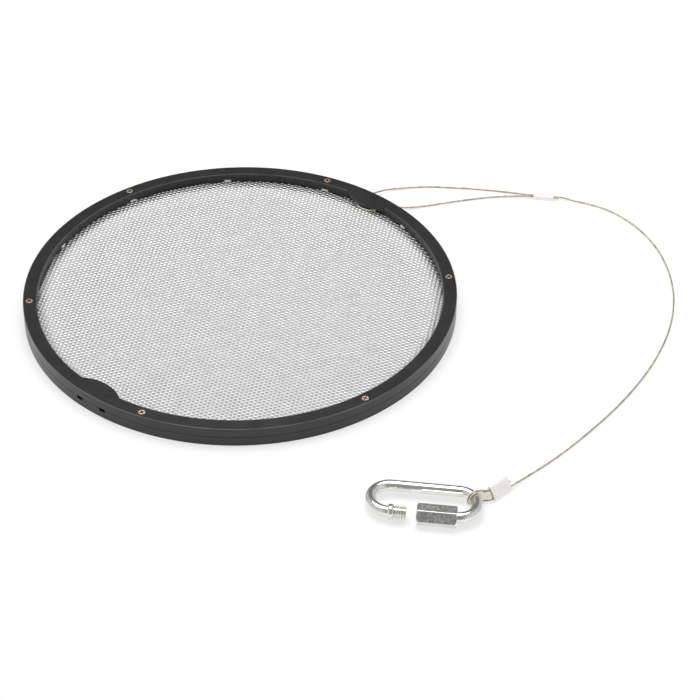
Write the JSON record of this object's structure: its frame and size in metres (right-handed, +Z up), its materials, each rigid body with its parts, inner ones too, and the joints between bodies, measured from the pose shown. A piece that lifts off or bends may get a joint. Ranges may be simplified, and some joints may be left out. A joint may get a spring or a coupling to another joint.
{
  "type": "round guard screen with safety tether",
  "caption": "Round perforated guard screen clamped between two black plastic rings, with a thin wire rope tether looped round a lug and ending in an open oval quick link.",
  "frame": {"origin": "centre of the rings on the surface that they lie on", "axes": "+Z up through the screen, from the lower ring to the ring with the screws; +Y away from the quick link; the tether lies on the +X side"},
  "size_m": [0.364, 0.3102, 0.0112],
  "materials": {
    "ring_plastic": "satin black, finely textured",
    "screen_metal": "bright rolled sheet",
    "screw_brass": "dull brass",
    "rope_steel": "fine stranded wire, warm grey",
    "ferrule_metal": "bright, crimped",
    "thimble_metal": "plain bent strip",
    "link_zinc": "bright zinc plating"
  },
  "bodies": {
    "frame": {"upper_ring": "ring_plastic", "lower_ring": "ring_plastic", "mesh_screen": "screen_metal", "mesh_tab_1": "screen_metal", "mesh_tab_2": "screen_metal", "mesh_tab_3": "screen_metal", "mesh_tab_4": "screen_metal", "mesh_tab_5": "screen_metal", "mesh_tab_6": "screen_metal", "mesh_tab_7": "screen_metal", "mesh_tab_8": "screen_metal", "mesh_tab_9": "screen_metal", "mesh_tab_10": "screen_metal", "mesh_tab_11": "screen_metal", "mesh_tab_12": "screen_metal", "frame_screw_1": "screw_brass", "frame_screw_2": "screw_brass", "frame_screw_3": "screw_brass", "frame_screw_4": "screw_brass", "frame_screw_5": "screw_brass", "frame_screw_6": "screw_brass", "tether_loop": "rope_steel", "frame_ferrule": "ferrule_metal", "tether_run": "rope_steel", "tether_tails": "rope_steel", "link_ferrule": "ferrule_metal", "tether_eye": "rope_steel", "thimble": "thimble_metal"},
    "link": {"link_body": "link_zinc"},
    "nut": {"link_nut": "link_zinc"}
  },
  "joints": [
    {"name": "link_swing", "type": "hinge", "parent": "frame", "child": "link", "pos_m": [0.1141, -0.1706, 0.005], "axis": [-0.4462, 0.8949, 0], "range_deg": [0, 90]},
    {"name": "nut_travel", "type": "slide", "parent": "link", "child": "nut", "axis": [-0.9839, 0.1788, 0], "range_m": [0, 0.0115]}
  ]
}
